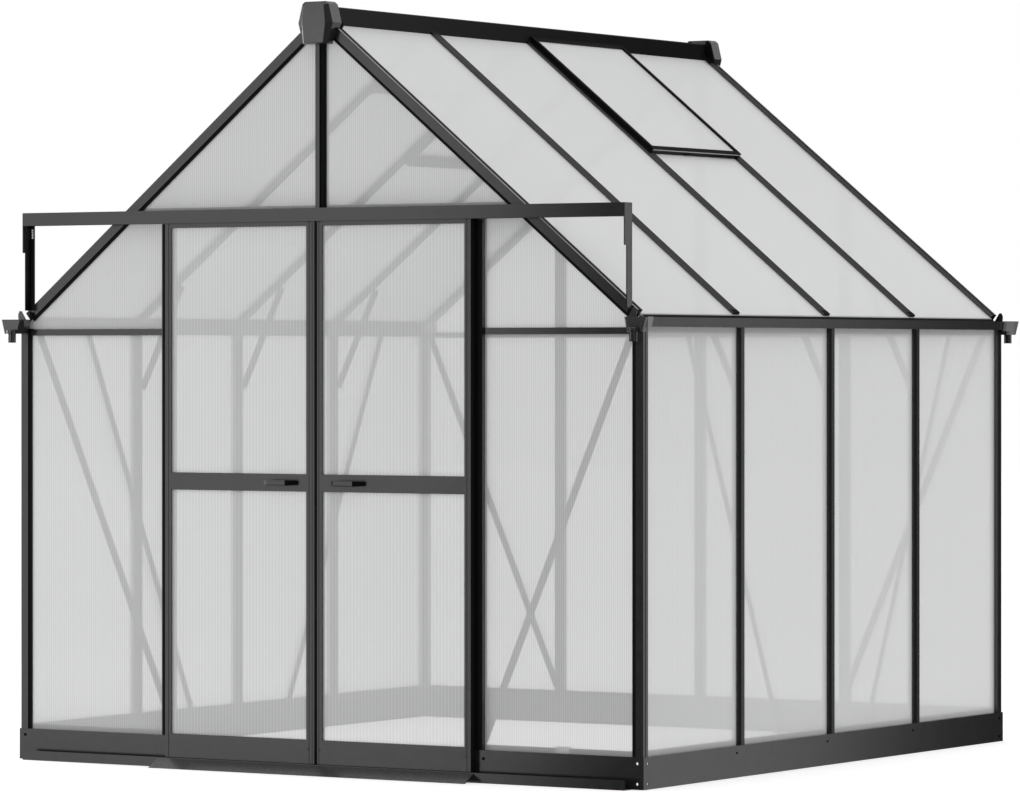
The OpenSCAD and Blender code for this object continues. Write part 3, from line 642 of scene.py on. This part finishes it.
def cap_ring(y, half_mid, half_end, half_h):
    """Outline of the cap with its upper corners cut off."""
    outline = both_sides([
        (half_end, -half_h), (half_mid, 0.0),
        (half_end + CAP_CUT * 0.45, half_h - CAP_CUT), (half_end - CAP_CUT * 0.8, half_h),
    ])
    return [(x, MID_Y + y, cap_mid_z + z) for x, z in outline]


# Shell: bevelled front part before the gable, and behind it a hood that sits on the rafters.
bm = bmesh.new()
add_loft(bm, [
    cap_ring(cap_front, cap_half - 0.0225, 0.0365, cap_half_h - 0.0035),
    cap_ring(cap_front + 0.0015, cap_half - 0.021, 0.0375, cap_half_h - 0.002),
    cap_ring(cap_front + CAP_BEVEL_D - 0.0015, cap_half - 0.0015, CAP_END_HALF - 0.001, cap_half_h),
    cap_ring(cap_front + CAP_BEVEL_D + 0.001, cap_half, CAP_END_HALF, cap_half_h),
    cap_ring(-GABLE_Y, cap_half, CAP_END_HALF, cap_half_h),
])
hood_x = cap_half - 0.0042
hood_z = APEX_Z - hood_x * math.tan(PITCH)
hood = [(0.0, APEX_Z)] + both_sides([
    (hood_x, hood_z), (cap_half, cap_mid_z),
    (CAP_END_HALF + 0.004, cap_high[2] - CAP_CUT), (CAP_END_HALF - 0.007, cap_high[2]),
])
add_prism(bm, hood, 1, (FRONT_Y, MID_Y + cap_inner))
# The flanks above the widest line get painted light, a paler copy of the plastic.
bmesh.ops.recalc_face_normals(bm, faces=bm.faces)
for face in bm.faces:
    n = face.normal
    face.material_index = int(n.z > 0.1 and abs(n.x) > 0.3 and abs(n.y) < 0.2)
mirror(bm, "y")
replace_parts(piece("ridge_cap_shells", bm, plastic, plastic_lit), "ridge_caps")

# Black plates on the inner end of each cap, each with a foot on the rafters and two bolts.
PLATE_T = 0.003
PLATE_OUT = 0.0625
PLATE_BOLT_X = 0.047
FOOT_IN = 0.045        # inner end of a plate's foot
FOOT_D, FOOT_H = 0.010, 0.020
plate_y = MID_Y + cap_inner
plate = [
    (0.0305, cap_low[2] + 0.052), (0.0305, cap_high[2] - 0.004), (0.041, cap_high[2] - 0.003),
    (0.049, cap_high[2] - 0.012), (PLATE_OUT, cap_mid_z), (PLATE_OUT, hood_z + 0.002),
    (0.058, hood_z + 0.002),
]
bm = bmesh.new()
for side in (-1, 1):
    add_prism(bm, [(side * x, z) for x, z in plate], 1, (plate_y, plate_y + PLATE_T))
    x0, x1 = sorted((side * FOOT_IN, side * cap_half))
    add_box(bm, (x0, plate_y, hood_z), (x1, plate_y + FOOT_D, hood_z + FOOT_H))
    for z in (0.020, -0.004):
        add_bolt(bm, (side * PLATE_BOLT_X, plate_y + PLATE_T, cap_mid_z + z), REAR)
mirror(bm, "y")
piece("ridge_cap_plates", bm, rubber_and_shade)

# ---- gutter heads ----

HEAD_WALL = 0.003
head_low, head_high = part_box("gutter_heads")
gutter_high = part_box("gutter_right")[1]
TRAY_TOP = gutter_high[2] + 0.001
TRAY_BOTTOM = TRAY_TOP - 0.048
gable_y = -GABLE_Y
head_y = gable_y - 0.054    # outer end of the head

# Corners of the tray's rim and foot as (x, y from the middle), for the front right head.
rim = [(1.177, gable_y), (1.177, -1.281), (1.187, head_y), (head_high[0], head_y),
       (1.250, gable_y)]
foot = [(1.183, -1.262), (1.183, -1.275), (1.201, head_y), (1.2505, head_y), (1.246, -1.262)]


def head_ring(outline, z, inset=0.0):
    """Outline at a height, with its corners drawn in towards the middle."""
    centre = Vector((sum(x for x, _ in outline), sum(y for _, y in outline))) / len(outline)
    ring = []
    for x, y in outline:
        d = centre - Vector((x, y))
        d *= inset / d.length
        ring.append((x + d.x, MID_Y + y + d.y, z))
    return ring


# Tray: up the outside, over the rim and down the inside to its floor.
bm = bmesh.new()
add_loft(bm, [
    head_ring(foot, TRAY_BOTTOM, 0.002),
    head_ring(foot, TRAY_BOTTOM + 0.002),
    head_ring(rim, TRAY_TOP - 0.002),
    head_ring(rim, TRAY_TOP, 0.001),
    head_ring(rim, TRAY_TOP, HEAD_WALL),
    head_ring(foot, TRAY_BOTTOM + 0.006, HEAD_WALL + 0.002),
])

# Outlet with a collar under the tray.
OUTLET_SIDES = 32
outlet_x, outlet_y = WALL_X - 0.003, FRONT_Y - 0.056
outlet_l = TRAY_BOTTOM - head_low[2]
add_turned(bm, (outlet_x, outlet_y, head_low[2]), UP, [
    (outlet_l + 0.012, 0.0115), (0.0, 0.0115), (0.0, 0.0130), (0.001, 0.0135),
    (outlet_l + 0.002, 0.0135),
], OUTLET_SIDES)
add_turned(bm, (outlet_x, outlet_y, TRAY_BOTTOM), UP, [
    (0.0, 0.0160), (0.0015, 0.0175), (0.0115, 0.0175), (0.014, 0.0150),
], OUTLET_SIDES)

# Fin that stands up from the tray, as (x, height over the rim).
FIN = ((1.182, -0.030), (1.208, -0.030), (1.213, 0.010), (1.213, 0.018), (1.207, 0.029),
       (1.200, 0.028), (1.182, 0.0))
FIN_Y = (-1.267, -1.2635)
add_prism(bm, [(x, TRAY_TOP + z) for x, z in FIN], 1, [MID_Y + y for y in FIN_Y])
mirror(bm, "xy")

# The front heads' outer side walls get painted light, a paler copy of the plastic.
LIT_WALL_X = 1.2505
bm.normal_update()
for face in bm.faces:
    centre = face.calc_center_median()
    if abs(face.normal.x) > 0.9 and abs(centre.x) > LIT_WALL_X and centre.y < 0:
        face.material_index = 1
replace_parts(piece("gutter_head_trays", bm, plastic, plastic_lit), "gutter_heads")

# Sleeves over the gutters' outer faces, as (y from the middle, height over the rim), in the paler
# copy of the plastic that is painted light.
SLEEVE_T = 0.0115
FRONT_SLEEVE = ((-1.270, -0.033), (-1.246, -0.033), (-1.243, -0.020), (-1.238, -0.012),
                (-1.234, 0.0), (-1.270, 0.0))
REAR_SLEEVE = ((1.268, -0.048), (1.230, -0.048), (1.230, -0.035), (1.203, -0.035),
               (1.213, 0.0), (1.268, 0.0))
bm = bmesh.new()
for outline in (FRONT_SLEEVE, REAR_SLEEVE):
    add_prism(bm, [(MID_Y + y, TRAY_TOP + z) for y, z in outline], 0,
              (gutter_high[0], gutter_high[0] + SLEEVE_T))
mirror(bm, "x")
piece("gutter_head_sleeves", bm, plastic_lit)

# ---- floor ----

bpy.ops.mesh.primitive_plane_add(size=80, location=(0, 0, -0.0005))
floor = bpy.context.object
floor.name = "floor"
material, _, bsdf = new_material("pale_floor")
bsdf.inputs["Base Color"].default_value = (0.5, 0.5, 0.5, 1)
bsdf.inputs["Emission Color"].default_value = (1, 1, 1, 1)
bsdf.inputs["Emission Strength"].default_value = 0.6
bsdf.inputs["Roughness"].default_value = 0.9
floor.data.materials.append(material)
floor.visible_glossy = False
floor.visible_diffuse = False
floor.visible_shadow = False

# ---- light ----


def mix(t, factor, first, second):
    """Mixes from the first colour or socket to the second socket."""
    m = t.nodes.new("ShaderNodeMix")
    m.data_type = "RGBA"
    t.links.new(factor, m.inputs["Factor"])
    if isinstance(first, tuple):
        m.inputs["A"].default_value = first
    else:
        t.links.new(first, m.inputs["A"])
    t.links.new(second, m.inputs["B"])
    return m.outputs["Result"]


def softbox(name, centre, facing, size, radiance):
    data = bpy.data.lights.new(name, "AREA")
    data.shape = "RECTANGLE"
    data.size, data.size_y = size
    data.energy = radiance * math.pi * size[0] * size[1]
    obj = bpy.data.objects.new(name, data)
    scene.collection.objects.link(obj)
    obj.visible_camera = False
    obj.location = centre
    obj.rotation_euler = Vector(facing).to_track_quat("-Z", "Y").to_euler()


# The camera sees white, matt faces a soft sky, and reflections a dim room with a bright ceiling.
world = bpy.data.worlds.new("studio")
scene.world = world
world.use_nodes = True
t = world.node_tree
ray = t.nodes.new("ShaderNodeLightPath")
split = t.nodes.new("ShaderNodeSeparateXYZ")
t.links.new(t.nodes.new("ShaderNodeTexCoord").outputs["Generated"], split.inputs["Vector"])
sky = ramp(t, split.outputs["Z"], [(0.0, 0.72), (1.0, 1.2)])
room = ramp(t, split.outputs["Z"], [
    (0.0, 0.008), (0.3, 0.04), (0.485, 0.17), (0.74, 0.49), (1.0, 0.6),
])
seen = mix(t, ray.outputs["Is Diffuse Ray"], (1, 1, 1, 1), sky)
seen = mix(t, ray.outputs["Is Glossy Ray"], seen, room)
t.links.new(seen, t.nodes["Background"].inputs["Color"])
t.nodes["Background"].inputs["Strength"].default_value = 1.0
scene.view_settings.view_transform = "Standard"

# Front left: the gable's faces mirror it, fading towards their right end.
softbox("box_front_left", (-2.5, -4.2, 1.2), (0.2, 1, 0), (2.8, 3.6), 0.92)
# Right rear: the right wall's faces mirror it, fading towards the rear.
softbox("box_right_rear", (4.75, 3.65, 1.1), (-1, -0.72, 0), (3.2, 5.0), 0.76)
# Left: brightens bevels that face the left.
softbox("box_left", (-7.5, 0.5, 2.4), (1, 0, 0), (3.0, 5.0), 6.0)
# Right front: brightens bevels and round edges that face the viewer.
softbox("box_right_front", (7.5, -5.2, 1.6), (-0.85, 0.53, 0), (1.8, 3.0), 0.6)

# ---- camera ----

SENSOR = 36
FRAME_PX = 1020
FOCAL_PX = 5216.4
CAMERA_YAW = math.radians(32.155)
camera = bpy.data.cameras.new("camera")
camera.sensor_width = SENSOR
camera.lens = FOCAL_PX / FRAME_PX * SENSOR
camera.shift_x = 0.00091
camera.shift_y = -0.0378
camera.clip_end = 200
camera_obj = bpy.data.objects.new("camera", camera)
scene.collection.objects.link(camera_obj)
camera_obj.location = (9.5534, -15.2666, 1.3543)
camera_obj.rotation_euler = (math.pi / 2, 0, CAMERA_YAW)
scene.camera = camera_obj
